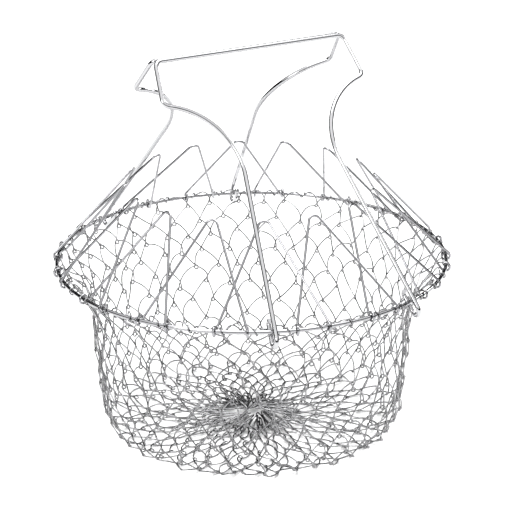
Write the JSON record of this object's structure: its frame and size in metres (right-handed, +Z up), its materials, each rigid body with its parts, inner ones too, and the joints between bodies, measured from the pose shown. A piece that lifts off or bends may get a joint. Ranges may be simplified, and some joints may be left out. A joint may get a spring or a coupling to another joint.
{
  "type": "grill basket",
  "caption": "Collapsible round wire-mesh frying and grilling basket with folding hourglass handles and a crown of bent wire prongs round the rim.",
  "frame": {"origin": "bottom centre of the standing basket", "axes": "+Z up the basket's axis; the two handles hinge on its -Y and +Y sides and their grips run along X"},
  "size_m": [0.2354, 0.2354, 0.2349],
  "materials": {
    "rim_wire": "polished",
    "handle_wire": "polished",
    "prong_wire": "polished",
    "mesh_wire": "polished"
  },
  "bodies": {
    "rim": {"rim_ring": "rim_wire", "mesh_row_01": "mesh_wire", "mesh_row_02": "mesh_wire", "mesh_row_03": "mesh_wire", "mesh_row_04": "mesh_wire", "mesh_row_05": "mesh_wire", "mesh_row_06": "mesh_wire", "mesh_row_07": "mesh_wire", "mesh_row_08": "mesh_wire", "mesh_row_09": "mesh_wire", "mesh_row_10": "mesh_wire", "mesh_row_11": "mesh_wire"},
    "basket_floor": {"mesh_row_12": "mesh_wire", "mesh_row_13": "mesh_wire", "mesh_row_14": "mesh_wire", "mesh_row_15": "mesh_wire", "mesh_row_16": "mesh_wire", "mesh_row_17": "mesh_wire", "mesh_row_18": "mesh_wire", "centre_ring": "mesh_wire"},
    "handle_front": {"handle_front": "handle_wire"},
    "handle_back": {"handle_back": "handle_wire"},
    "prong_01": {"prong_01": "prong_wire"},
    "prong_02": {"prong_02": "prong_wire"},
    "prong_03": {"prong_03": "prong_wire"},
    "prong_04": {"prong_04": "prong_wire"},
    "prong_05": {"prong_05": "prong_wire"},
    "prong_06": {"prong_06": "prong_wire"},
    "prong_07": {"prong_07": "prong_wire"},
    "prong_08": {"prong_08": "prong_wire"},
    "prong_09": {"prong_09": "prong_wire"},
    "prong_10": {"prong_10": "prong_wire"},
    "prong_11": {"prong_11": "prong_wire"},
    "prong_12": {"prong_12": "prong_wire"},
    "prong_13": {"prong_13": "prong_wire"},
    "prong_14": {"prong_14": "prong_wire"},
    "prong_15": {"prong_15": "prong_wire"},
    "prong_16": {"prong_16": "prong_wire"}
  },
  "joints": [
    {"name": "handle_front_hinge", "type": "hinge", "parent": "rim", "child": "handle_front", "pos_m": [0, -0.10625, 0.10615], "axis": [1, 0, 0], "range_deg": [0, 90]},
    {"name": "handle_back_hinge", "type": "hinge", "parent": "rim", "child": "handle_back", "pos_m": [0, 0.10625, 0.10615], "axis": [-1, 0, 0], "range_deg": [0, 90]},
    {"name": "basket_collapse", "type": "slide", "parent": "rim", "child": "basket_floor", "axis": [0, 0, 1], "range_m": [0, 0.078], "deforming": ["mesh_row_01", "mesh_row_02", "mesh_row_03", "mesh_row_04", "mesh_row_05", "mesh_row_06", "mesh_row_07", "mesh_row_08", "mesh_row_09", "mesh_row_10", "mesh_row_11"]},
    {"name": "prong_01_hinge", "type": "hinge", "parent": "rim", "child": "prong_01", "pos_m": [0, -0.11068, 0.10615], "axis": [-1, 0, 0], "range_deg": [0, 25]},
    {"name": "prong_02_hinge", "type": "hinge", "parent": "rim", "child": "prong_02", "pos_m": [0.04236, -0.10226, 0.10615], "axis": [-0.9239, -0.3827, 0], "range_deg": [0, 25]},
    {"name": "prong_03_hinge", "type": "hinge", "parent": "rim", "child": "prong_03", "pos_m": [0.07826, -0.07826, 0.10615], "axis": [-0.7071, -0.7071, 0], "range_deg": [0, 25]},
    {"name": "prong_04_hinge", "type": "hinge", "parent": "rim", "child": "prong_04", "pos_m": [0.10226, -0.04236, 0.10615], "axis": [-0.3827, -0.9239, 0], "range_deg": [0, 25]},
    {"name": "prong_05_hinge", "type": "hinge", "parent": "rim", "child": "prong_05", "pos_m": [0.11068, 0, 0.10615], "axis": [0, -1, 0], "range_deg": [0, 25]},
    {"name": "prong_06_hinge", "type": "hinge", "parent": "rim", "child": "prong_06", "pos_m": [0.10226, 0.04236, 0.10615], "axis": [0.3827, -0.9239, 0], "range_deg": [0, 25]},
    {"name": "prong_07_hinge", "type": "hinge", "parent": "rim", "child": "prong_07", "pos_m": [0.07826, 0.07826, 0.10615], "axis": [0.7071, -0.7071, 0], "range_deg": [0, 25]},
    {"name": "prong_08_hinge", "type": "hinge", "parent": "rim", "child": "prong_08", "pos_m": [0.04236, 0.10226, 0.10615], "axis": [0.9239, -0.3827, 0], "range_deg": [0, 25]},
    {"name": "prong_09_hinge", "type": "hinge", "parent": "rim", "child": "prong_09", "pos_m": [0, 0.11068, 0.10615], "axis": [1, 0, 0], "range_deg": [0, 25]},
    {"name": "prong_10_hinge", "type": "hinge", "parent": "rim", "child": "prong_10", "pos_m": [-0.04236, 0.10226, 0.10615], "axis": [0.9239, 0.3827, 0], "range_deg": [0, 25]},
    {"name": "prong_11_hinge", "type": "hinge", "parent": "rim", "child": "prong_11", "pos_m": [-0.07826, 0.07826, 0.10615], "axis": [0.7071, 0.7071, 0], "range_deg": [0, 25]},
    {"name": "prong_12_hinge", "type": "hinge", "parent": "rim", "child": "prong_12", "pos_m": [-0.10226, 0.04236, 0.10615], "axis": [0.3827, 0.9239, 0], "range_deg": [0, 25]},
    {"name": "prong_13_hinge", "type": "hinge", "parent": "rim", "child": "prong_13", "pos_m": [-0.11068, 0, 0.10615], "axis": [0, 1, 0], "range_deg": [0, 25]},
    {"name": "prong_14_hinge", "type": "hinge", "parent": "rim", "child": "prong_14", "pos_m": [-0.10226, -0.04236, 0.10615], "axis": [-0.3827, 0.9239, 0], "range_deg": [0, 25]},
    {"name": "prong_15_hinge", "type": "hinge", "parent": "rim", "child": "prong_15", "pos_m": [-0.07826, -0.07826, 0.10615], "axis": [-0.7071, 0.7071, 0], "range_deg": [0, 25]},
    {"name": "prong_16_hinge", "type": "hinge", "parent": "rim", "child": "prong_16", "pos_m": [-0.04236, -0.10226, 0.10615], "axis": [-0.9239, 0.3827, 0], "range_deg": [0, 25]}
  ],
  "couplings": [
    {"joint": "prong_02_hinge", "follows": "prong_01_hinge", "ratio": 1},
    {"joint": "prong_03_hinge", "follows": "prong_01_hinge", "ratio": 1},
    {"joint": "prong_04_hinge", "follows": "prong_01_hinge", "ratio": 1},
    {"joint": "prong_05_hinge", "follows": "prong_01_hinge", "ratio": 1},
    {"joint": "prong_06_hinge", "follows": "prong_01_hinge", "ratio": 1},
    {"joint": "prong_07_hinge", "follows": "prong_01_hinge", "ratio": 1},
    {"joint": "prong_08_hinge", "follows": "prong_01_hinge", "ratio": 1},
    {"joint": "prong_09_hinge", "follows": "prong_01_hinge", "ratio": 1},
    {"joint": "prong_10_hinge", "follows": "prong_01_hinge", "ratio": 1},
    {"joint": "prong_11_hinge", "follows": "prong_01_hinge", "ratio": 1},
    {"joint": "prong_12_hinge", "follows": "prong_01_hinge", "ratio": 1},
    {"joint": "prong_13_hinge", "follows": "prong_01_hinge", "ratio": 1},
    {"joint": "prong_14_hinge", "follows": "prong_01_hinge", "ratio": 1},
    {"joint": "prong_15_hinge", "follows": "prong_01_hinge", "ratio": 1},
    {"joint": "prong_16_hinge", "follows": "prong_01_hinge", "ratio": 1}
  ]
}
